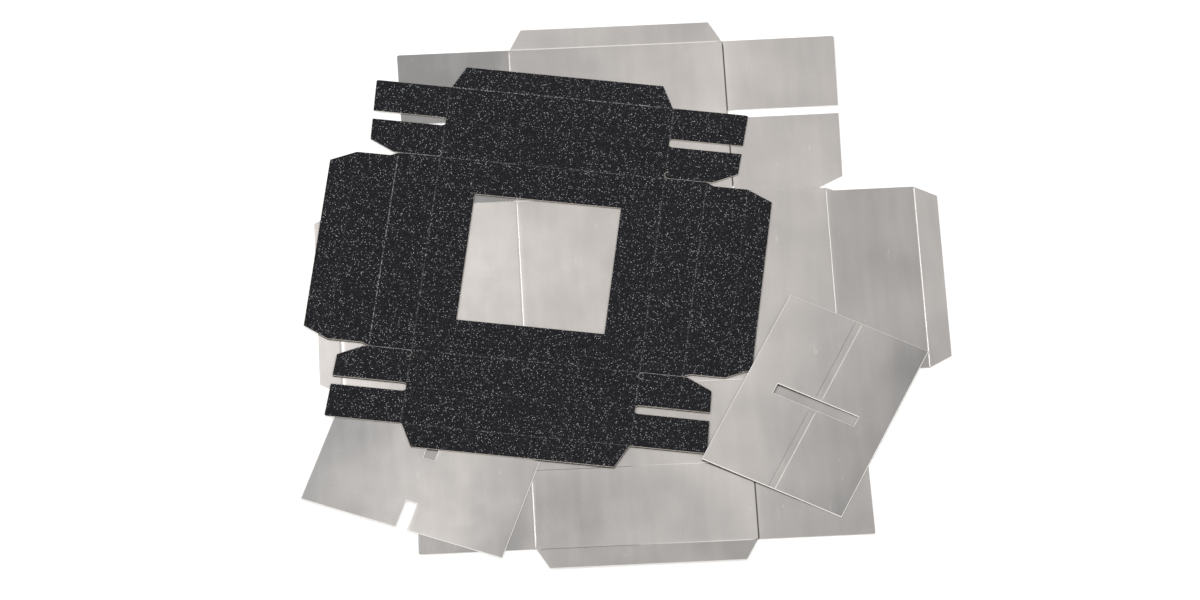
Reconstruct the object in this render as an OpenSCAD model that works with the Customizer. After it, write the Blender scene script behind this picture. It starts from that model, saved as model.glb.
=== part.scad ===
// Window sweet box, packed flat.
// One box's worth of die-cut card lies as it is sent out: a silver base blank, a black glitter lid blank
// with a square window, and the two silver sheets that divide the tray.
// The base blank lies on the floor, the notched divider on its corner tab, the lid blank on both,
// and the slotted divider leans from the lid's flap down to the base.

/* [Card] */
// Thickness of the card
card_t = 0.5; // [0.35:0.05:0.8]
// Width of a crease, measured across the groove
crease_w = 0.9; // [0.5:0.1:1.4]
// Depth of a crease below the face
crease_d = 0.15; // [0.05:0.05:0.25]
// Width of a knife cut between a tab and a flap
kerf = 0.4; // [0.2:0.1:0.8]
// Rounding of the free corners of the tabs
corner_r = 1; // [0.5:0.25:2]

/* [Base] */
// Side of the square floor of the base
base_floor = 115; // [100:1:130]
// Height of the outer wall of the base
base_outer = 49; // [40:0.5:56]
// Height of the inner wall of the base
base_inner = 46.5; // [38:0.5:54]
// Width of the lip that lies on the floor of the made-up base
base_lip = 12; // [8:0.5:16]
// Length of a corner tab of the base
base_tab = 60; // [52:0.5:64]
// Angle by which the far and near lips of the base have sprung up
base_spring = 5; // [0:0.5:12]

/* [Lid] */
// How much wider the lid is than the base
lid_over = 5; // [3:0.5:8]
// Height of the outer wall of the lid
lid_outer = 22.5; // [18:0.5:30]
// Height of the inner wall of the lid
lid_inner = 22; // [17:0.5:29]
// Width of the lip inside the lid
lid_lip = 13.5; // [8:0.5:16]
// Length of a corner tab of the lid
lid_tab = 40; // [32:0.5:50]
// Width of the card round the window
window_rim = 21; // [14:0.5:30]

/* [Tabs and lips] */
// Width of the slot that splits a corner tab in two
slot_w = 5; // [4:0.25:6]
// How far that slot runs in past the crease at the tab's root
slot_past = 0.5; // [0:0.1:1]
// How far the end of a tab slopes back towards the floor of the blank
tab_draft = 1.6; // [0:0.1:3]
// Length of the slanted corner of a tab, beside the flap
slant_l = 14; // [8:0.5:18]
// Height of the slanted corner of a tab
slant_h = 7; // [4:0.5:9]
// Radius of the hook at the inner end of each knife cut
hook_r = 2; // [1.5:0.1:2.5]
// How much a lip narrows at each end, over its width
lip_taper = 6.5; // [3:0.5:9]
// How far the lips on the tabbed walls start in from the crease of the tabs
lip_inset = 0.5; // [0.2:0.1:2]
// How far the edges of the inner walls without tabs lie inside the knife cuts
flap_inset = 1.8; // [0.5:0.1:3]
// Length over which those edges step in
flap_ramp = 4; // [2:0.5:6]

/* [Dividers] */
// Free length that a divider keeps in the made-up base
divider_play = 3; // [1:0.5:6]
// Height of each face of the folded slotted divider
slotted_face = 38; // [32:0.5:44]
// Distance between its two creases
slotted_gap = 3.5; // [2:0.25:6]
// Length of the slot across its creases
slot_l = 46; // [36:0.5:54]
// Width of that slot and of the notches
pass_w = 6; // [4.5:0.25:8]
// Height of the notched divider
notched_h = 60; // [50:0.5:70]
// Depth of its notches
notch_d = 16.5; // [10:0.5:22]

/* [How the sheets lie] */
// Middle of the lid blank, to the right of the middle of the base blank
lid_x = -47.5; // [-60:0.5:-35]
// Middle of the lid blank, beyond the middle of the base blank
lid_y = 18; // [8:0.5:26]
// Turn of the lid blank
lid_turn = -9.5; // [-14:0.5:-5]
// Middle of the notched divider, to the right
notched_x = -115; // [-120:0.5:-105]
// Middle of the notched divider, beyond
notched_y = -109.5; // [-112:0.5:-106]
// Turn of the notched divider
notched_turn = -21.5; // [-25:0.5:-18]
// Turn of the slotted divider
slotted_turn = -28.5; // [-33:0.5:-24]
// How far the slotted divider laps over the corner of the lid's flap
slotted_lap = 1; // [0.5:0.1:2]
// How far the middle of the slotted divider lies below that corner, along its edge
slotted_slide = 5; // [0:0.5:10]

/* [Hidden] */

silver = [0.74, 0.72, 0.70];
black = [0.10, 0.10, 0.11];
arc_steps = 5;
through = 1;

lid_panel = base_floor + lid_over;
window_w = lid_panel - 2 * window_rim;
divider_l = base_floor - 4 * card_t - divider_play;
slotted_w = 2 * slotted_face + slotted_gap;

// Half sizes of the lid blank: its panel, the root of its lips and the edge of its lips
lid_half = lid_panel / 2;
lid_root = lid_half + lid_outer + lid_inner;
lid_edge = lid_root + lid_lip;

// Turns a point about the vertical
function turned(point, angle) = [
    point.x * cos(angle) - point.y * sin(angle),
    point.x * sin(angle) + point.y * cos(angle)
];

// Place of a point of the lid blank, seen from above
function on_lid(point) = [lid_x, lid_y] + turned(point, lid_turn);

// The lid leans on the upper edge of the notched divider and comes down to the base at its far corner
notched_edge = [notched_x, notched_y] + turned([0, notched_h / 2], notched_turn);
away = turned([0, 1], notched_turn);
lid_far_corners = [
    on_lid([lid_half - lip_inset - lip_taper, lid_edge]),
    on_lid([lid_half + lid_tab, lid_root])
];
lid_reach = max([for (corner = lid_far_corners) (corner - notched_edge) * away]);
lid_tilt = asin(card_t / lid_reach);

// The slotted divider laps over the near corner of the lid's flap and rests on its own right edge
flap_corner = on_lid([lid_edge, -(lid_half - flap_inset - lip_taper)]);
slotted_middle = flap_corner + turned([slotted_w / 2 - slotted_lap, -slotted_slide], slotted_turn);
slotted_tilt = asin(2 * card_t / slotted_w);

function unit(v) = v / norm(v);

// Points of a corner p between a and b, rounded by radius r, or the corner itself if r is 0
function corner_points(a, p, b, r) =
    r == 0 ? [p] :
    let (
        to_a = unit(a - p),
        to_b = unit(b - p),
        half_angle = acos(to_a * to_b) / 2,
        centre = p + unit(to_a + to_b) * r / sin(half_angle),
        start = p + to_a * r / tan(half_angle) - centre,
        stop = p + to_b * r / tan(half_angle) - centre
    )
    [for (i = [0:arc_steps]) centre + r * unit(start * (1 - i / arc_steps) + stop * i / arc_steps)];

// Outline through the points [x, y, radius], each corner rounded by its radius
function rounded(path) =
    let (n = len(path), flat = [for (p = path) [p.x, p.y]])
    [for (i = [0:n - 1]) each corner_points(flat[(i + n - 1) % n], flat[i], flat[(i + 1) % n], path[i][2])];

// Groove along the X axis in the upper face of a sheet, over the length l
module crease(l) {
    rotate([90, 0, 90])
        linear_extrude(l, center = true)
            polygon([
                [-crease_w / 2, card_t],
                [0, card_t - crease_d],
                [crease_w / 2, card_t],
                [crease_w / 2, card_t + through],
                [-crease_w / 2, card_t + through]
            ]);
}

// Both halves of a blank's detail, mirrored left to right
module left_and_right() {
    children();
    mirror([1, 0, 0]) children();
}

// Both halves of a blank's detail, mirrored near to far
module near_and_far() {
    children();
    mirror([0, 1, 0]) children();
}

// Corners of the lip on the far wall, from its root at y to its edge, narrowing to both ends
function lip_corners(lip_half, y, lip) = [
    [lip_half, y],
    [lip_half - lip_taper, y + lip],
    [-lip_half + lip_taper, y + lip],
    [-lip_half, y]
];

// Floor with the far and near walls, and with their lips where these lie flat
module strip_outline(half, root, lip, flat_lips) {
    far_lip = flat_lips ? lip_corners(half - lip_inset, root, lip) : [];
    polygon([
        [half, -root],
        [half, root],
        each far_lip,
        [-half, root],
        [-half, -root],
        each [for (corner = far_lip) -corner]
    ]);
}

// Corner tab on the far wall, to the right, split in two by a round-ended slot
module tab_outline(half, fold, root, tab) {
    tip = half + tab;
    difference() {
        polygon(rounded([
            [half - lip_inset, half, 0],
            [tip - tab_draft - slant_l, half, 0],
            [tip - tab_draft, half + slant_h, corner_r],
            [tip, root, corner_r],
            [half - lip_inset, root, 0]
        ]));
        translate([half - slot_past + slot_w / 2, fold]) {
            circle(d = slot_w, $fn = 24);
            translate([0, -slot_w / 2]) square([tab + through, slot_w]);
        }
    }
}

// Outer and inner wall on the right with its lip, without tabs, the inner wall stepped in beside the tabs
module flap_outline(half, fold, root, lip) {
    step = fold + flap_ramp;
    inner_half = half - flap_inset;
    polygon([
        [half - lip_inset, -half],
        [fold, -half],
        [step, -inner_half],
        [root, -inner_half],
        [root + lip, -inner_half + lip_taper],
        [root + lip, inner_half - lip_taper],
        [root, inner_half],
        [step, inner_half],
        [fold, half],
        [half - lip_inset, half]
    ]);
}

// Hooked end of the knife cut at the far right corner of the floor
module hook_outline(half) {
    translate([half + hook_r - kerf, half + hook_r + kerf / 2])
        difference() {
            circle(r = hook_r + kerf / 2, $fn = 32);
            circle(r = hook_r - kerf / 2, $fn = 32);
            translate([0, -2 * hook_r]) square(4 * hook_r);
        }
}

// Knife cut between the far right tab and the right flap, as far as the corner of the floor
module cut_outline(half, tab) {
    translate([half + hook_r - kerf, half])
        square([tab - slant_l, kerf]);
    hook_outline(half);
}

// Blank of a square tray with double walls: floor, four folded walls, split corner tabs and four lips.
// spring is the angle of the far and near lips.
module tray_blank(floor_w, outer, inner, lip, tab, spring) {
    half = floor_w / 2;
    fold = half + outer;
    root = fold + inner;
    lip_half = half - lip_inset;
    difference() {
        union() {
            linear_extrude(card_t)
                difference() {
                    union() {
                        strip_outline(half, root, lip, spring == 0);
                        left_and_right() {
                            near_and_far() tab_outline(half, fold, root, tab);
                            flap_outline(half, fold, root, lip);
                        }
                    }
                    left_and_right() near_and_far() cut_outline(half, tab);
                }
            if (spring > 0)
                near_and_far()
                    translate([0, root, 0])
                        rotate([spring, 0, 0])
                            linear_extrude(card_t) polygon(lip_corners(lip_half, 0, lip));
        }
        near_and_far() {
            translate([0, half, 0]) crease(floor_w);
            translate([0, fold, 0]) crease(floor_w - slot_w);
            translate([0, root, 0]) crease(2 * lip_half + through);
        }
        left_and_right() {
            translate([half, 0, 0]) rotate(90) crease(2 * root + through);
            translate([fold, 0, 0]) rotate(90) crease(2 * half + through);
            translate([root, 0, 0]) rotate(90) crease(2 * half);
        }
    }
}

// Silver base blank, lying flat, its far and near lips sprung up
module base_blank() {
    color(silver)
        tray_blank(base_floor, base_outer, base_inner, base_lip, base_tab, base_spring);
}

// Silver sheet with a notch in the middle of each long edge
module notched_divider() {
    color(silver)
        translate([notched_x, notched_y, card_t])
            rotate([0, 0, notched_turn])
                linear_extrude(card_t)
                    difference() {
                        square([divider_l, notched_h], center = true);
                        near_and_far()
                            translate([-pass_w / 2, notched_h / 2 - notch_d])
                                square([pass_w, notch_d + through]);
                    }
}

// Black lid blank with its window, leaning on the edge of the notched divider
module lid_blank() {
    color(black)
        translate([notched_edge.x, notched_edge.y, 2 * card_t])
            rotate([0, 0, notched_turn])
                rotate([-lid_tilt, 0, 0])
                    rotate([0, 0, -notched_turn])
                        translate([lid_x - notched_edge.x, lid_y - notched_edge.y, 0])
                            rotate([0, 0, lid_turn])
                                difference() {
                                    tray_blank(lid_panel, lid_outer, lid_inner, lid_lip, lid_tab, 0);
                                    translate([-window_w / 2, -window_w / 2, -through])
                                        cube([window_w, window_w, card_t + 2 * through]);
                                }
}

// Silver sheet with two creases along it and a slot across them, leaning down to its right edge
module slotted_divider() {
    color(silver)
        translate([slotted_middle.x, slotted_middle.y, card_t])
            rotate([0, 0, slotted_turn])
                translate([slotted_w / 2, 0, 0])
                    rotate([0, slotted_tilt, 0])
                        translate([-slotted_w / 2, 0, 0])
                            difference() {
                                translate([-slotted_w / 2, -divider_l / 2, 0])
                                    cube([slotted_w, divider_l, card_t]);
                                translate([-slot_l / 2, -pass_w / 2, -through])
                                    cube([slot_l, pass_w, card_t + 2 * through]);
                                left_and_right()
                                    translate([slotted_gap / 2, 0, 0])
                                        rotate(90) crease(divider_l + through);
                            }
}

base_blank();
notched_divider();
lid_blank();
slotted_divider();
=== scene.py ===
# %% [markdown]
# # A flat-packed window sweet box
# The object is one box's worth of die-cut card: a silver base blank, a black glitter lid blank with a
# window, and two silver dividers. They lie on each other, foil and glitter side up, on a white table.
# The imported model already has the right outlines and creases. This script gives each sheet what a
# drawing leaves out: a pressed shoulder along its cuts, a slight bow, foil, glitter and a paper core.

from math import cos, exp, radians, sin

import bmesh
import bpy
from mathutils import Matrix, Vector, noise


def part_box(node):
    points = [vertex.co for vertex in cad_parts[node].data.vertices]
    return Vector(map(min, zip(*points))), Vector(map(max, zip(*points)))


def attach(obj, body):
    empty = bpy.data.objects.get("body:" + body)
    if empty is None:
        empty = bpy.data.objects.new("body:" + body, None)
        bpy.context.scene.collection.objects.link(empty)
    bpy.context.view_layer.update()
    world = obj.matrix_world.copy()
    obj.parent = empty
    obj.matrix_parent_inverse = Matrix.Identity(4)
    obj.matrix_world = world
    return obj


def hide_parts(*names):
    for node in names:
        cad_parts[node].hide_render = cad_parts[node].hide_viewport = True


MM = 0.001
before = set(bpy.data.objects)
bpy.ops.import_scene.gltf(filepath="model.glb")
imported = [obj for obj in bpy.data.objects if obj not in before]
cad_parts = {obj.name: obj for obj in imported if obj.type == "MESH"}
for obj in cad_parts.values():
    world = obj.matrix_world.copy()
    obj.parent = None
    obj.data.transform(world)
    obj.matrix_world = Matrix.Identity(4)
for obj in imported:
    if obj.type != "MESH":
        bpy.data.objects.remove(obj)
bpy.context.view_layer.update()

# %% [markdown]
# ## Camera
# The photograph was taken from about 59 degrees above the table with a long lens, so that the sheets'
# sides stay nearly parallel. A long lens from far away does the same here. The base blank lies turned
# by three degrees in the picture, which is a turn of the camera, because the sheets stay put.

# %% Place the camera
AIM = Vector((-16.6 * MM, -5.2 * MM, 0))
CAMERA_TURN = radians(-3.0)
CAMERA_RISE = radians(59)
CAMERA_FAR = 3.5
LENS, SENSOR = 200, 36  # mm, as on a camera
SIGHT_END = 20

towards_camera = Vector((
    sin(CAMERA_TURN) * cos(CAMERA_RISE),
    -cos(CAMERA_TURN) * cos(CAMERA_RISE),
    sin(CAMERA_RISE),
))
camera = bpy.data.objects.new("camera", bpy.data.cameras.new("camera"))
bpy.context.scene.collection.objects.link(camera)
camera.data.lens = LENS
camera.data.sensor_width = SENSOR
camera.data.clip_end = SIGHT_END
camera.location = AIM + CAMERA_FAR * towards_camera
camera.rotation_euler = (-towards_camera).to_track_quat("-Z", "Y").to_euler()
bpy.context.scene.camera = camera
print("camera at, m:", [round(v, 3) for v in camera.location])

# %% [markdown]
# ## How each sheet lies
# A sheet's middle is the middle of its box, because every blank is its own mirror image. With the turn
# that it lies at, this gives its own two directions: across to its right and along to its far side.
# Panels, curls and the grid of each sheet are laid out in those directions.

# %% Directions of a sheet
TURNS = {"base_blank": 0.0, "notched_divider": -21.5, "lid_blank": -9.5, "slotted_divider": -28.5}


class Lie:
    """Where a sheet lies: its middle and its own two directions."""

    def __init__(self, node):
        low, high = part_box(node)
        turn = radians(TURNS[node])
        self.middle = (Vector(low) + Vector(high)) / 2
        self.across = Vector((cos(turn), sin(turn), 0))
        self.along = Vector((-sin(turn), cos(turn), 0))

    def own(self, place):
        """Distances across and along from the sheet's middle, in mm."""
        off = place - self.middle
        return off.dot(self.across) / MM, off.dot(self.along) / MM

    def table(self, across, along):
        """The place on the table of a point given in the sheet's own mm."""
        return self.middle + (across * self.across + along * self.along) * MM


lies = {node: Lie(node) for node in TURNS}
for node, lie in lies.items():
    print(node, "middle, mm:", [round(v / MM, 1) for v in lie.middle[:2]])

# %% [markdown]
# ## From a drawn sheet to a real one
# A packed sheet comes in as triangles. It could be drawn again from its corners, but copying it keeps
# every cut where it is. The triangles are merged into whole panels first, because a bevel and straight
# cuts both work better on a few large faces than on many thin triangles.

# %% Copy a sheet and find its sides
FRONT, EDGE, BACK = 0, 1, 2
SAME_POINT = 0.002 * MM
SAME_PLANE = radians(0.5)
FACES_UP = 0.5


def whole_panels(node):
    """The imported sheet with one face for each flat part, marked as front, cut edge or back."""
    sheet = bmesh.new()
    sheet.from_mesh(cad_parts[node].data)
    bmesh.ops.remove_doubles(sheet, verts=sheet.verts, dist=SAME_POINT)
    bmesh.ops.dissolve_limit(sheet, angle_limit=SAME_PLANE, verts=sheet.verts, edges=sheet.edges)
    sheet.normal_update()
    for face in sheet.faces:
        upward = face.normal.z
        face.material_index = FRONT if upward > FACES_UP else BACK if upward < -FACES_UP else EDGE
    return sheet


# %% [markdown]
# ## Cut edges
# A cutting rule presses the card down before it cuts through, so that the upper edge of every cut has a
# small rounded shoulder, where foil and glitter chip off and the pale paper shows. It is only a
# fraction of a millimetre wide, but it is what draws the thin bright line round each sheet. The line
# could be painted on, but then it would be flat, and a bevel on the outline catches the light as card
# does. Only the straight part of the knife cuts between tabs and flaps is too fine for a shoulder.

# %% Round the upper edge of every cut
# widths in mm
SHOULDERS = {"base_blank": 0.30, "notched_divider": 0.30, "lid_blank": 0.20, "slotted_divider": 0.32}
# from the corner of the floor or panel to the crease of the outer wall, in mm
KNIFE_CUTS = {"base_blank": (57.5, 106.5), "lid_blank": (60.0, 82.5)}
PAST_HOOK, BEFORE_CREASE, BESIDE_CUT = 1.5, 0.2, 1.0


def in_knife_cut(node, across, along):
    """Whether a point, in the sheet's own mm, lies at the straight part of a knife cut."""
    if node not in KNIFE_CUTS:
        return False
    corner, end = KNIFE_CUTS[node]
    lengthways = corner + PAST_HOOK < abs(across) < end - BEFORE_CREASE
    return lengthways and abs(abs(along) - corner) < BESIDE_CUT


def press_cuts(sheet, node):
    """Bevel the front rim of every cut, and say how many edges that took."""
    rim = [
        edge for edge in sheet.edges
        if {face.material_index for face in edge.link_faces} == {FRONT, EDGE}
        and not all(in_knife_cut(node, *lies[node].own(vert.co)) for vert in edge.verts)
    ]
    bmesh.ops.bevel(
        sheet, geom=rim, offset=SHOULDERS[node] * MM, offset_type="OFFSET", segments=2, profile=0.5,
        affect="EDGES", clamp_overlap=True, material=EDGE,
    )
    return len(rim)


# %% [markdown]
# ## A grid to bend
# A large face can't bend. Straight cuts across the sheet, along its own sides, give it a grid of small
# faces. A remesh would do that too, but it would move the outline, which has to stay as it was.

# %% Cut a grid into a sheet
GRID = 4 * MM
GRID_START = 0.37  # of a step, which keeps the cuts off the creases
ON_CUT = 0.01 * MM


def cut_grid(sheet, lie):
    """Cut the sheet both ways, one straight line for each step of the grid."""
    for way in (lie.across, lie.along):
        reach = [(vert.co - lie.middle).dot(way) for vert in sheet.verts]
        for step in range(int(min(reach) / GRID) - 1, int(max(reach) / GRID) + 1):
            bmesh.ops.bisect_plane(
                sheet,
                geom=sheet.verts[:] + sheet.edges[:] + sheet.faces[:],
                plane_co=lie.middle + way * (step + GRID_START) * GRID,
                plane_no=way,
                dist=ON_CUT,
            )


# %% [markdown]
# ## Where the sheet is scored
# The creases are shallow grooves in the front face. Their bottom gets a number on the mesh, so that the
# foil can be cracked and the glitter rubbed off there, and nowhere else. It is worked out while the
# sheet is still flat, from how far a point lies below the front face. The grid comes first, because a
# groove has no points of its own between the two cuts that it runs to.

# %% Mark the bottoms of the creases
CREASE_DEPTH = 0.15 * MM


def front_plane(sheet):
    """The plane of the front face: its normal and one of its points."""
    fronts = [face for face in sheet.faces if face.material_index == FRONT]
    flat = max(fronts, key=lambda face: face.calc_area())
    return flat.normal.copy(), flat.verts[0].co.copy()


def mark_creases(sheet, normal, point):
    """Write 1 on the points at the bottom of a crease, and 0 on the front face."""
    scored = sheet.verts.layers.float.new("scored")
    for vert in sheet.verts:
        inside = all(face.material_index == FRONT for face in vert.link_faces)
        below = (point - vert.co).dot(normal)
        vert[scored] = min(1.0, max(0.0, below / CREASE_DEPTH)) if inside else 0.0


# %% [markdown]
# ## Bow
# Card is never quite flat. One soft field of hills, a fraction of a millimetre high, lifts all the
# sheets alike, so that they keep resting on each other. It fades out along the left side of the
# slotted divider, which is the highest place and must not rise.

# %% The field that every sheet follows
HILL, HILL_W, HILL_SEED = 0.30 * MM, 48 * MM, 3.1
RIPPLE, RIPPLE_W, RIPPLE_SEED = 0.05 * MM, 19 * MM, 7.7
FADE = 30 * MM
DIVIDER_LONG, DIVIDER_WIDE = 110, 79.5

divider = lies["slotted_divider"]
top_side = [divider.table(-DIVIDER_WIDE / 2, end * DIVIDER_LONG / 2) for end in (-1, 1)]


def swell(place, height, width, seed):
    """Soft hills of that height and width, never below zero."""
    return height * (0.5 + 0.5 * noise.noise(Vector((place.x / width, place.y / width, seed))))


def field(place):
    """Height of the common hills at a place."""
    start, way = top_side[0].to_2d(), (top_side[1] - top_side[0]).to_2d()
    share = max(0.0, min(1.0, (place.to_2d() - start).dot(way) / way.length_squared))
    near = (place.to_2d() - start - share * way).length / FADE
    hills = swell(place, HILL, HILL_W, HILL_SEED)
    ripples = swell(place, RIPPLE, RIPPLE_W, RIPPLE_SEED)
    return (hills + ripples) * (1 - exp(-near * near))


# %% [markdown]
# Where nothing lies on a corner, the card springs up a little more. A curl starts along a straight
# line and rises faster the further it gets, as a panel does that is held along one side. Adding heights
# in this way is quicker than a simulation and gives the same sheet each time.

# %% Free corners
# start (across, along), way of the rise in degrees, reach and rise, all in mm
CURLS = {
    "base_blank": [((95, 100), 25, 70, 0.9), ((-95, -120), 215, 60, 0.6), ((140, 40), 40, 45, 0.3)],
    "notched_divider": [((-30, -10), 200, 60, 0.8)],
    "lid_blank": [((-85, 70), 130, 60, 0.35), ((-90, -70), 215, 60, 0.25)],
    "slotted_divider": [],
}


def curl(node, across, along):
    """How much higher a free corner lies at a point given in the sheet's own mm."""
    rise = 0.0
    for (start_across, start_along), way, reach, height in CURLS[node]:
        gone = (across - start_across) * cos(radians(way)) + (along - start_along) * sin(radians(way))
        rise += height * min(1.0, max(0.0, gone / reach)) ** 2
    return rise * MM


# %% [markdown]
# ## Panels
# Between its creases each panel of foil leans by a hair in its own way and mirrors another part of the
# room. The sheets here are not leant: each panel's grey is a painted reflection instead, and beside a
# crease, where the card rolls up a little, a painted highlight makes it lighter. That grey is another
# number on the mesh, 0 for dark and 1 for light. The lid has no foil and needs none.

# %% Painted reflection grey of the base's panels
FLOOR, OUTER, INNER = 57.5, 106.5, 153.0
# painted highlight beside a crease: how much lighter, and its fade in mm
ROLL_HIGHLIGHT, ROLL_W = 0.14, 5.0
# painted reflection on the far and near walls, growing towards the right
REFLECTION_SLOPE = 0.003  # for each mm to the right, on the far and near walls
# painted reflection greys of the panels, 0 for dark and 1 for light
FLOOR_REFLECTION = 0.58
TAB_REFLECTIONS = ((0.16, 0.02), (0.32, 0.54))  # left near, left far, right near, right far
WALL_REFLECTIONS = {  # outer wall, inner wall and lip
    "right": (0.52, 0.28, 0.40),
    "left": (0.66, 0.56, 0.50),
    "far": (0.52, 0.50, 0.40),
    "near": (0.46, 0.38, 0.28),
}


def base_reflection(across, along):
    right, far = across > 0, along > 0
    wide, deep = abs(across), abs(along)
    if wide > FLOOR and deep > FLOOR:
        return TAB_REFLECTIONS[right][far] + ROLL_HIGHLIGHT * exp(-(wide - FLOOR) / ROLL_W)
    out, sideways = max(wide, deep), wide > deep
    if out < FLOOR:
        return FLOOR_REFLECTION
    side = ("right" if right else "left") if sideways else ("far" if far else "near")
    outer, inner, lip = WALL_REFLECTIONS[side]
    # a painted reflection that changes from left to right
    lean = 0.0 if sideways else REFLECTION_SLOPE * across
    if out < OUTER:
        return outer + lean
    return inner + lean + ROLL_HIGHLIGHT * exp(-(out - OUTER) / ROLL_W) if out < INNER else lip


# %% Painted reflection grey of the dividers
def slotted_reflection(across, along):
    """Painted reflection, darker towards its right."""
    return 0.35 - 0.0058 * across


def notched_reflection(across, along):
    """Painted reflection, lightest a little to the right of its middle."""
    return 0.52 - 0.0065 * abs(across - 20)


def unmarked(across, along):
    return 0.0


PAINTED_REFLECTIONS = {
    "base_blank": base_reflection, "notched_divider": notched_reflection,
    "lid_blank": unmarked, "slotted_divider": slotted_reflection,
}

# %% [markdown]
# ## Creases
# On the foil the number is painted light in a crease: a painted highlight above zero, a painted shade
# below zero. Which it is depends on the light: the same board has bright creases on one side and dark
# ones on the other. On the lid the number says how pale the crushed glitter of a crease is.

# %% Painted highlight and shade in the creases of the silver sheets
CREASE_REACH = 1.0


# painted highlight above zero and painted shade below zero in the creases of the base
def base_crease_light(across, along):
    right, far = across > 0, along > 0
    wide, deep = abs(across), abs(along)
    if deep > FLOOR and abs(wide - FLOOR) < CREASE_REACH:  # the fold of a tab
        return -1.0 if right else 0.95
    out, sideways = max(wide, deep), wide > deep
    if min(abs(out - fold) for fold in (FLOOR, OUTER, INNER)) < CREASE_REACH:
        if sideways or far:
            return 0.75 if sideways and right else 1.0
        return min(1.0, max(-0.14, across / 40))  # near side: dark on its left, bright on its right
    return 0.0


# painted shade in the left crease and painted highlight in the right one
def slotted_crease_light(across, along):
    return -0.13 if across < 0 else 0.75


# %% Creases of the lid
LID_PANEL, LID_OUTER, LID_INNER = 60.0, 82.5, 104.5


def lid_crease(across, along):
    sideways = abs(across) > abs(along)
    if min(abs(abs(across) - LID_PANEL), abs(abs(along) - LID_PANEL)) < CREASE_REACH:  # panel and tabs
        return 0.32
    wall = max(abs(across), abs(along)) < (LID_OUTER + LID_INNER) / 2
    if sideways:
        return (0.80 if across < 0 else 0.32) if wall else 0.10
    return 0.10 if wall else 0.75 if along > 0 else 0.25


CREASES = {
    "base_blank": base_crease_light, "notched_divider": unmarked,
    "lid_blank": lid_crease, "slotted_divider": slotted_crease_light,
}

# %% [markdown]
# ## One maker for all four
# The steps above always come in the same order, so one function shapes a sheet from its node. A second
# one turns it into an object with three finishes, for its front, its cut edges and its back.

# %% Shape a sheet
SHARP = radians(35)
NUMBERS = ("grey", "crease", "knife")


def shape_sheet(node):
    lie = lies[node]
    sheet = whole_panels(node)
    rims = press_cuts(sheet, node)
    normal, point = front_plane(sheet)
    cut_grid(sheet, lie)
    mark_creases(sheet, normal, point)
    grey, crease, knife = (sheet.verts.layers.float.new(name) for name in NUMBERS)
    for vert in sheet.verts:
        own = lie.own(vert.co)
        # grey: the panel's painted reflection
        vert[grey] = PAINTED_REFLECTIONS[node](*own)
        # crease: painted light in the foil's creases, crushed glitter in the lid's
        vert[crease] = CREASES[node](*own)
        vert[knife] = float(in_knife_cut(node, *own))
        vert.co.z += field(vert.co) + curl(node, *own)
    sheet.normal_update()
    for face in sheet.faces:
        face.smooth = True
    for edge in sheet.edges:
        edge.smooth = edge.calc_face_angle(0.0) < SHARP
    print(f"{node}: {rims} cut edges pressed")
    return sheet


# %% [markdown]
# The normals of the object are weighted by the size of its faces: a panel then stays flat to the eye
# right up to a crease, and only the narrow faces beside it turn.

# %% Make a sheet
BY_AREA = 60


def make_sheet(node, finishes):
    sheet = shape_sheet(node)
    mesh = bpy.data.meshes.new(node + "_card")
    sheet.to_mesh(mesh)
    sheet.free()
    for finish in finishes:
        mesh.materials.append(finish)
    piece = bpy.data.objects.new(node + "_card", mesh)
    bpy.context.scene.collection.objects.link(piece)
    weighted = piece.modifiers.new("even_normals", "WEIGHTED_NORMAL")
    weighted.keep_sharp = True
    weighted.weight = BY_AREA
    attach(piece, "root")
    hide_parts(node)
    top = max(vert.co.z for vert in mesh.vertices)
    print(f"{piece.name}: {len(mesh.polygons)} faces, top {top / MM:.2f} mm")


# %% [markdown]
# ## Finishes
# All textures read the object's own coordinates, in metres, so a size in a texture is a real size. A
# small bench of helpers joins nodes, to keep each recipe readable.

# %% A bench for joining nodes
class Bench:
    """Short ways to add nodes to a node tree."""

    def __init__(self, tree):
        self.tree = tree

    def add(self, kind, **settings):
        node = self.tree.nodes.new(kind)
        for key, value in settings.items():
            setattr(node, key, value)
        return node

    def join(self, source, target):
        if isinstance(source, (int, float, tuple)):
            target.default_value = source
        else:
            self.tree.links.new(source, target)

    def maths(self, operation, first, second=0.0, clamp=False):
        node = self.add("ShaderNodeMath", operation=operation, use_clamp=clamp)
        self.join(first, node.inputs[0])
        self.join(second, node.inputs[1])
        return node.outputs[0]

    def span(self, value, low, high, new_low=0.0, new_high=1.0):
        """A smooth step from new_low to new_high while value goes from low to high."""
        node = self.add("ShaderNodeMapRange", interpolation_type="SMOOTHSTEP")
        for socket, number in zip(node.inputs[1:5], (low, high, new_low, new_high)):
            socket.default_value = number
        self.join(value, node.inputs[0])
        return node.outputs[0]

    def vector(self, operation, first, second=None, scale=None):
        node = self.add("ShaderNodeVectorMath", operation=operation)
        self.join(first, node.inputs[0])
        if second is not None:
            self.join(second, node.inputs[1])
        if scale is not None:
            node.inputs["Scale"].default_value = scale
        return node.outputs[0]

    def seen_rays(self, mirrored):
        """1 for what the camera sees directly or through glass, and mirrored for what metal shows."""
        rays = self.add("ShaderNodeLightPath").outputs
        direct = self.maths("MAXIMUM", rays["Is Camera Ray"], rays["Is Transmission Ray"])
        return self.maths("MAXIMUM", direct, self.maths("MULTIPLY", rays["Is Glossy Ray"], mirrored))


# %% A finish and its textures
# a Mix node lists its sockets for colours after those for numbers and vectors
MIX_SHARE, MIX_FIRST, MIX_SECOND, MIX_RESULT = 0, 6, 7, 2


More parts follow.
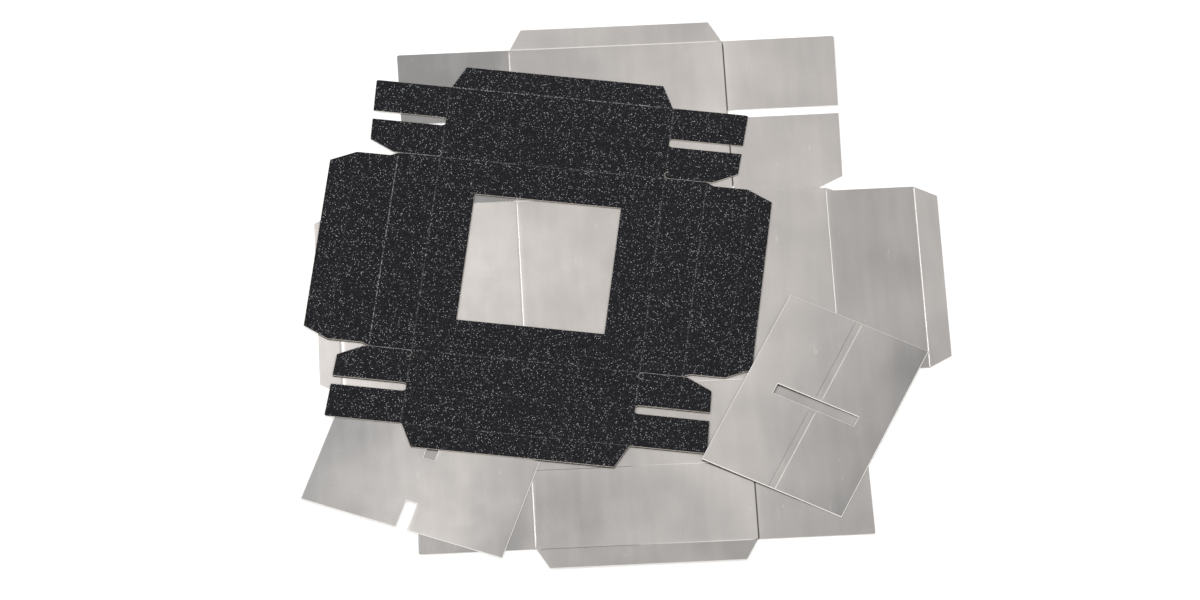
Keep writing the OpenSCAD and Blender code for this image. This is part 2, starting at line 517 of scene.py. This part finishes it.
class Finish(Bench):
    """A material with its surface, and textures in real sizes."""

    def __init__(self, name):
        self.material = bpy.data.materials.new(name)
        self.material.use_nodes = True
        super().__init__(self.material.node_tree)
        self.surface = self.tree.nodes["Principled BSDF"]
        self.place = self.add("ShaderNodeTexCoord").outputs["Object"]

    def number(self, name):
        """A number that the mesh carries."""
        return self.add("ShaderNodeAttribute", attribute_name=name).outputs["Fac"]

    def clouds(self, size, detail=2.0, rough=0.5, turn=0.0, stretch=1.0):
        """Soft noise with patches of about that size, drawn out in one direction if wanted."""
        lay = self.add("ShaderNodeMapping")
        self.join(self.place, lay.inputs["Vector"])
        lay.inputs["Rotation"].default_value = (0, 0, turn)
        lay.inputs["Scale"].default_value = (1, 1 / stretch, 1)
        node = self.add("ShaderNodeTexNoise", noise_dimensions="3D")
        self.join(lay.outputs[0], node.inputs["Vector"])
        node.inputs["Scale"].default_value = 1 / size
        node.inputs["Detail"].default_value = detail
        node.inputs["Roughness"].default_value = rough
        return node.outputs["Fac"]

    def blend(self, share, first, second):
        node = self.add("ShaderNodeMix", data_type="RGBA")
        self.join(share, node.inputs[MIX_SHARE])
        self.join(first, node.inputs[MIX_FIRST])
        self.join(second, node.inputs[MIX_SECOND])
        return node.outputs[MIX_RESULT]

    def bump(self, height, depth, strength, normal=None):
        """Relief of that depth in metres, on top of another relief if one is given."""
        node = self.add("ShaderNodeBump")
        node.inputs["Strength"].default_value = strength
        node.inputs["Distance"].default_value = depth
        self.join(height, node.inputs["Height"])
        if normal:
            self.join(normal, node.inputs["Normal"])
        return node.outputs[0]


# %% Colours as a screen shows them
def paint(r, g, b):
    """A colour as a screen shows it, from 0 to 255, in linear light."""
    linear = [(v / 255 / 12.92) if v < 10.4 else ((v / 255 + 0.055) / 1.055) ** 2.4 for v in (r, g, b)]
    return (*linear, 1.0)


# %% [markdown]
# ### Silver foil
# The silver sheets are white card with a satin foil. Foil is metal, so its colour is the colour of what
# it mirrors. Several layers of unevenness make it satin instead of a mirror: broad waves, small
# cockles, a fine peel and a few hair-thin scratches. They could be painted in an image, but noise never
# repeats and keeps its real size. Each panel's grey is a painted reflection. In the creases the foil is
# cracked, bright creases get a painted highlight and dark ones a painted shade. Close under another
# sheet's edge a painted shade darkens it.

# %% Colour of the foil
# the two ends of the panels' painted reflection; the light end is also the painted highlight in creases
FOIL_DARK, FOIL_LIGHT = paint(150, 149, 149), paint(238, 232, 228)
# painted shade in dark creases, and painted shade close under other sheets' edges
CREASE_SHADE, IN_SHADE = paint(58, 55, 53), paint(52, 47, 44)
SCRATCHED, CRACKED = paint(250, 248, 246), paint(250, 250, 250)


def foil_tone(foil, scored, waves, cockles, grain):
    """The panels' painted reflection, then scratches, cracks, and painted highlight and shade on it."""
    streaks = foil.clouds(7 * MM, detail=2.0, turn=radians(4), stretch=7.0)
    # the panels' painted reflection grey, with random waves, streaks and grain
    shade = foil.maths("ADD", foil.number("grey"), foil.span(waves, 0.30, 0.70, -0.07, 0.07))
    shade = foil.maths("ADD", shade, foil.span(streaks, 0.30, 0.70, -0.03, 0.03))
    shade = foil.maths("ADD", shade, foil.span(grain, 0.25, 0.75, -0.04, 0.04), clamp=True)
    tone = foil.blend(shade, FOIL_DARK, FOIL_LIGHT)
    fine = foil.clouds(2.4 * MM, detail=1.0, turn=radians(62), stretch=22.0)
    thread = foil.span(foil.maths("ABSOLUTE", foil.maths("SUBTRACT", fine, 0.5)), 0.0, 0.006, 1.0, 0.0)
    worn = foil.maths("MULTIPLY", thread, foil.span(cockles, 0.58, 0.66, 0.0, 0.35))
    tone = foil.blend(worn, tone, SCRATCHED)
    cracks = foil.maths("MULTIPLY", scored, foil.span(grain, 0.56, 0.66, 0.0, 0.5))
    tone = foil.blend(cracks, tone, CRACKED)
    # painted highlight in bright creases and painted shade in dark ones
    pressed = foil.maths("MULTIPLY", scored, foil.number("crease"))
    tone = foil.blend(foil.maths("MAXIMUM", pressed, 0.0), tone, FOIL_LIGHT)
    tone = foil.blend(foil.span(pressed, -0.22, 0.0, 0.9, 0.0), tone, CREASE_SHADE)
    # painted shade close under another sheet's edge
    under = foil.add("ShaderNodeAmbientOcclusion", samples=8)
    under.inputs["Distance"].default_value = 4 * MM
    tone = foil.blend(foil.span(under.outputs["AO"], 0.10, 0.96, 0.95, 0.0), tone, IN_SHADE)
    return tone


# %% Make the foil
def silver_foil():
    foil = Finish("silver_foil")
    scored = foil.number("scored")
    waves = foil.clouds(45 * MM, detail=1.0)
    cockles = foil.clouds(11 * MM, detail=2.0)
    grain = foil.clouds(0.5 * MM, detail=2.0, rough=0.7)
    foil.join(foil_tone(foil, scored, waves, cockles, grain), foil.surface.inputs["Base Color"])
    foil.surface.inputs["Metallic"].default_value = 0.9
    rough = foil.maths("ADD", foil.span(cockles, 0.3, 0.7, 0.28, 0.34), foil.maths("MULTIPLY", scored, 0.1))
    foil.join(rough, foil.surface.inputs["Roughness"])
    relief = foil.bump(waves, 0.6 * MM, 0.6)
    relief = foil.bump(cockles, 0.03 * MM, 0.6, relief)
    relief = foil.bump(grain, 0.004 * MM, 0.6, relief)
    foil.join(relief, foil.surface.inputs["Normal"])
    return foil.material


foil_finish = silver_foil()
print(foil_finish.name, "has", len(foil_finish.node_tree.nodes), "nodes")

# %% [markdown]
# ### Glitter
# The lid's front is black card under a layer of tiny mirror flakes. Each flake lies at its own angle,
# so that few of them flash at once. Flakes of half a millimetre could be modelled, but there would be
# hundreds of thousands. Cells of a Voronoi texture stand for them: the cell's own colour gives its
# brightness and its tilt. A coarse and a fine layer are mixed. Where a crease has been pressed in, the
# flakes are crushed to a pale line.

# %% One layer of flakes
def flakes(card, size, share, low, high):
    """Brightness and tilt of one layer of flakes of that size. Share is how many of them are seen."""
    cells = card.add("ShaderNodeTexVoronoi", feature="F1", voronoi_dimensions="3D")
    card.join(card.place, cells.inputs["Vector"])
    cells.inputs["Scale"].default_value = 1 / size
    chance = card.add("ShaderNodeSeparateColor")
    card.join(cells.outputs["Color"], chance.inputs[0])
    seen = card.span(chance.outputs["Red"], 1 - share, 1 - share / 2)
    dot = card.span(cells.outputs["Distance"], 0.28, 0.48, 1.0, 0.0)
    level = card.span(chance.outputs["Green"], 0.0, 1.0, low, high)
    return card.maths("MULTIPLY", card.maths("MULTIPLY", seen, dot), level), cells.outputs["Color"]


# %% Make the glitter
BLACKS = paint(6, 6, 12), paint(16, 17, 23)
FLAKE = paint(240, 242, 248)


def glitter_card():
    card = Finish("black_glitter")
    coarse, tilt = flakes(card, 0.49 * MM, 0.13, 0.6, 1.0)
    fine, _ = flakes(card, 0.36 * MM, 0.30, 0.03, 0.13)
    crushed = card.span(card.clouds(1.3 * MM, detail=3.0, rough=0.7), 0.45, 0.60, 0.0, 0.6)
    pressed = card.maths("MULTIPLY", card.number("scored"), card.number("crease"))
    pale = card.maths("MULTIPLY", pressed, crushed)
    bright = card.maths("MAXIMUM", card.maths("MAXIMUM", coarse, fine), pale, clamp=True)
    ground = card.blend(card.clouds(1.5 * MM, detail=3.0), *BLACKS)
    card.join(card.blend(bright, ground, FLAKE), card.surface.inputs["Base Color"])
    card.join(card.span(bright, 0.0, 0.4, 0.0, 0.9), card.surface.inputs["Metallic"])
    card.join(card.span(bright, 0.0, 0.4, 0.80, 0.22), card.surface.inputs["Roughness"])
    card.surface.inputs["Specular IOR Level"].default_value = 0.25
    level = card.add("ShaderNodeNewGeometry").outputs["Normal"]
    lean = card.vector("SCALE", card.vector("SUBTRACT", tilt, (0.5, 0.5, 0.5)), scale=0.5)
    facing = card.vector("NORMALIZE", card.vector("ADD", level, lean))
    card.join(facing, card.surface.inputs["Normal"])
    return card.material


glitter_finish = glitter_card()
print(glitter_finish.name, "has", len(glitter_finish.node_tree.nodes), "nodes")

# %% [markdown]
# ### Paper core
# Every cut shows the card's core: uncoated paper, pale, with a fine fibre. The backs are the same
# paper, a little greyer. The lid's core is painted warmer and darker than that of the silver sheets,
# a painted shade for its white cut edges, which look grey and warm in shade. Inside a knife cut no
# fibre can be told, and the core looks even and cool.

# %% Make the core and the back
def paper(name, light, dark, fibre, in_knife_cut):
    core = Finish(name)
    fibres = core.clouds(fibre, detail=3.0, rough=0.7, turn=radians(30), stretch=3.0)
    tone = core.blend(core.span(fibres, 0.3, 0.7), paint(*light), paint(*dark))
    tone = core.blend(core.number("knife"), tone, paint(*in_knife_cut))
    core.join(tone, core.surface.inputs["Base Color"])
    core.surface.inputs["Roughness"].default_value = 0.75
    core.join(core.bump(fibres, 0.02 * MM, 0.5), core.surface.inputs["Normal"])
    return core.material


white_core = paper("white_card_core", (252, 250, 247), (240, 236, 230), 0.25 * MM, (240, 238, 234))
# painted shade: the lid's core is darker and warmer than the white core
shaded_lid_core = paper("lid_card_core", (226, 219, 211), (196, 188, 179), 0.25 * MM, (214, 212, 214))
white_back = paper("white_card_back", (234, 231, 226), (222, 218, 212), 0.6 * MM, (228, 225, 220))

# %% [markdown]
# ## The four sheets
# The base blank is the lowest, then the notched divider and the lid, and the slotted divider leans on
# the lid's edge. All silver sheets are cut from one board and share one foil.

# %% Lay the sheets
SILVER = (foil_finish, white_core, white_back)
BLACK = (glitter_finish, shaded_lid_core, white_back)

make_sheet("base_blank", SILVER)
make_sheet("notched_divider", SILVER)
make_sheet("lid_blank", BLACK)
make_sheet("slotted_divider", SILVER)

# %% [markdown]
# ## Table
# The sheets lie on white. The table is a matt white plane, and what the camera and shiny things see of
# it is lifted to pure white. More light would do that too, but it would bleach the sheets, and their
# soft shadow would go.

# %% Lay the table
TABLE_SIDE = 8
TABLE_DROP = 0.02 * MM  # keeps it off the underside of the lowest sheet
TABLE_WHITE = paint(240, 240, 240)
LIFT = 0.30
bpy.ops.mesh.primitive_plane_add(size=TABLE_SIDE, location=(0, 0, -TABLE_DROP))
table = bpy.context.object
table.name = "table"
top = Finish("white_table")
top.surface.inputs["Base Color"].default_value = TABLE_WHITE
top.surface.inputs["Roughness"].default_value = 0.9
top.surface.inputs["Emission Color"].default_value = (1, 1, 1, 1)
lifted = top.maths("MULTIPLY", top.seen_rays(1.0), LIFT)
top.join(lifted, top.surface.inputs["Emission Strength"])
table.data.materials.append(top.material)

# %% [markdown]
# ## Light
# A studio tent surrounds the object. It is bright on the viewer's side, which lights the cut edges
# that face the camera, and darker on the far side, where the foil looks. It also darkens towards the
# right, as the foil does in the photograph. The camera itself sees plain white, and the foil nowhere
# less than a pale grey, so that it stays silver when it is looked at from low down.

# %% Put up the tent
VIEWER_SIDE, FAR_SIDE = 1.28, 0.76
LEFT_SIDE, RIGHT_SIDE = 1.15, 0.86
AT_TABLE, OVERHEAD = 0.4, 1.0
PALE_GREY = 0.70
WARM_WHITE = (1.0, 0.99, 0.975, 1)
tent = bpy.data.worlds.new("tent")
bpy.context.scene.world = tent
tent.use_nodes = True
cloth = Bench(tent.node_tree)
direction = cloth.add("ShaderNodeTexCoord").outputs["Generated"]
ways = cloth.add("ShaderNodeSeparateXYZ")
cloth.join(direction, ways.inputs[0])
glow = cloth.span(ways.outputs["Y"], -0.4, 0.7, VIEWER_SIDE, FAR_SIDE)
sideways = cloth.span(ways.outputs["X"], -0.6, 0.6, LEFT_SIDE, RIGHT_SIDE)
upwards = cloth.span(ways.outputs["Z"], 0.1, 0.7, AT_TABLE, OVERHEAD)
glow = cloth.maths("MULTIPLY", glow, sideways)
glow = cloth.maths("MULTIPLY", glow, upwards)
seen = cloth.seen_rays(PALE_GREY)
sheet_of_light = tent.node_tree.nodes["Background"]
cloth.join(cloth.maths("MAXIMUM", glow, seen), sheet_of_light.inputs["Strength"])
sheet_of_light.inputs["Color"].default_value = WARM_WHITE

# %% [markdown]
# One small softbox hangs close over the far left corner. The foil mirrors it as a soft gradient,
# lighter on the left, the flakes that face it flash, and the sheets' edges throw short shadows.

# %% Hang the softbox
SOFTBOX_AT = Vector((-0.42, 0.52, 0.95))
SOFTBOX_SIDE = 0.20
SOFTBOX_WATTS = 1.2
softbox_data = bpy.data.lights.new("softbox", "AREA")
softbox_data.shape = "SQUARE"
softbox_data.size = SOFTBOX_SIDE
softbox_data.energy = SOFTBOX_WATTS
softbox = bpy.data.objects.new("softbox", softbox_data)
softbox.location = SOFTBOX_AT
softbox.rotation_euler = (-SOFTBOX_AT).to_track_quat("-Z", "Y").to_euler()
bpy.context.scene.collection.objects.link(softbox)
print("softbox hangs, m:", [round(v, 2) for v in SOFTBOX_AT])

# %% [markdown]
# ## Finish
# The picture is shown in the Standard view. The dressed sheets must not be larger than the imported
# ones.

# %% Finish
bpy.context.scene.view_settings.view_transform = "Standard"
